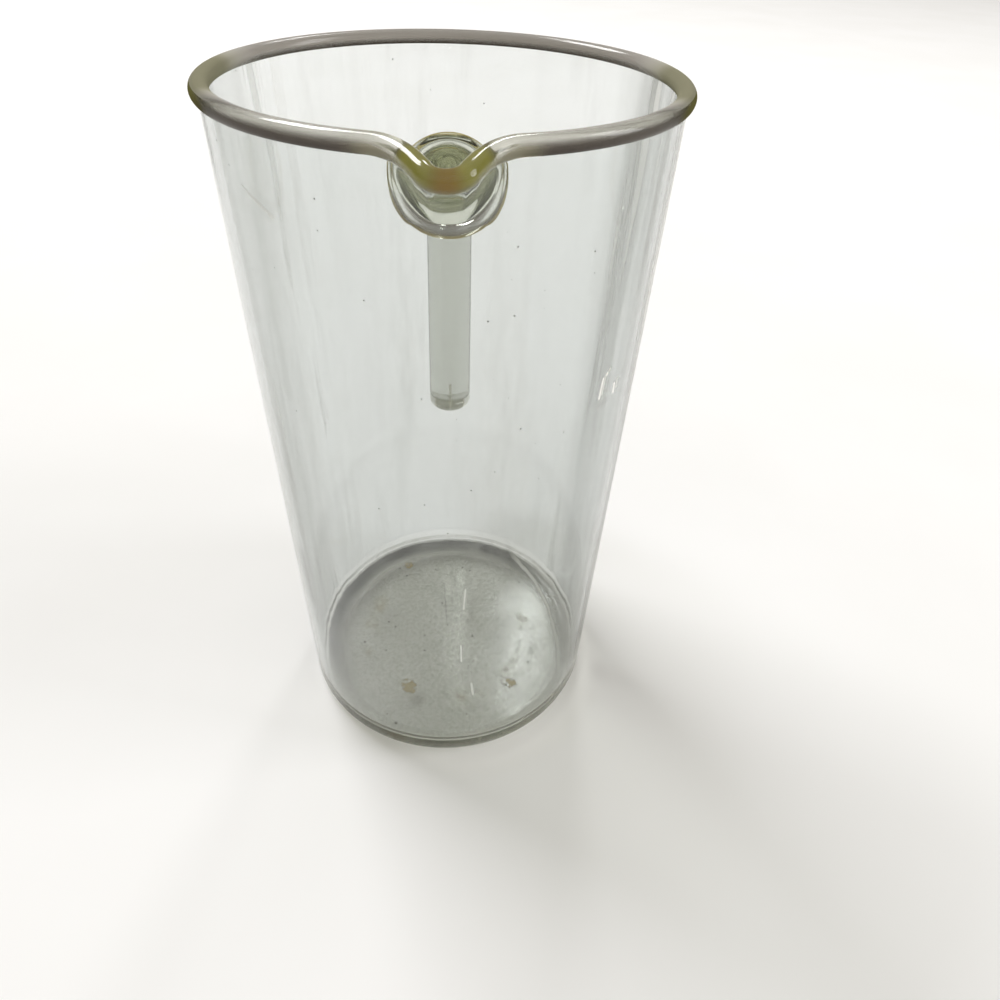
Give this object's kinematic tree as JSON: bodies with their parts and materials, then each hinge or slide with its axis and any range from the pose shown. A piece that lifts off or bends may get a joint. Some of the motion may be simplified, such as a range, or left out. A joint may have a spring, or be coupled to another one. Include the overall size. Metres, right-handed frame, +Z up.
{
  "type": "glass pouring jug",
  "caption": "Tall tapered glass laboratory jug with a rolled rim, a pressed V spout, a thick flat base and an open solid-rod handle that hangs free at its lower end.",
  "frame": {"origin": "centre of the flat underside of the base, on the jug's axis", "axes": "+Z up along the jug's axis, -Y towards the spout, +Y towards the handle"},
  "size_m": [0.105, 0.1447, 0.18],
  "materials": {
    "body_glass": "clear, fire-polished, faint yellow-green tint where thick",
    "handle_glass": "clear solid rod, fire-polished"
  },
  "bodies": {
    "root": {"body_wall": "body_glass", "base": "body_glass", "rim_bead": "body_glass", "pouring_spout": "body_glass", "handle_pad": "handle_glass", "handle_elbow": "handle_glass", "handle_grip": "handle_glass"}
  },
  "joints": []
}
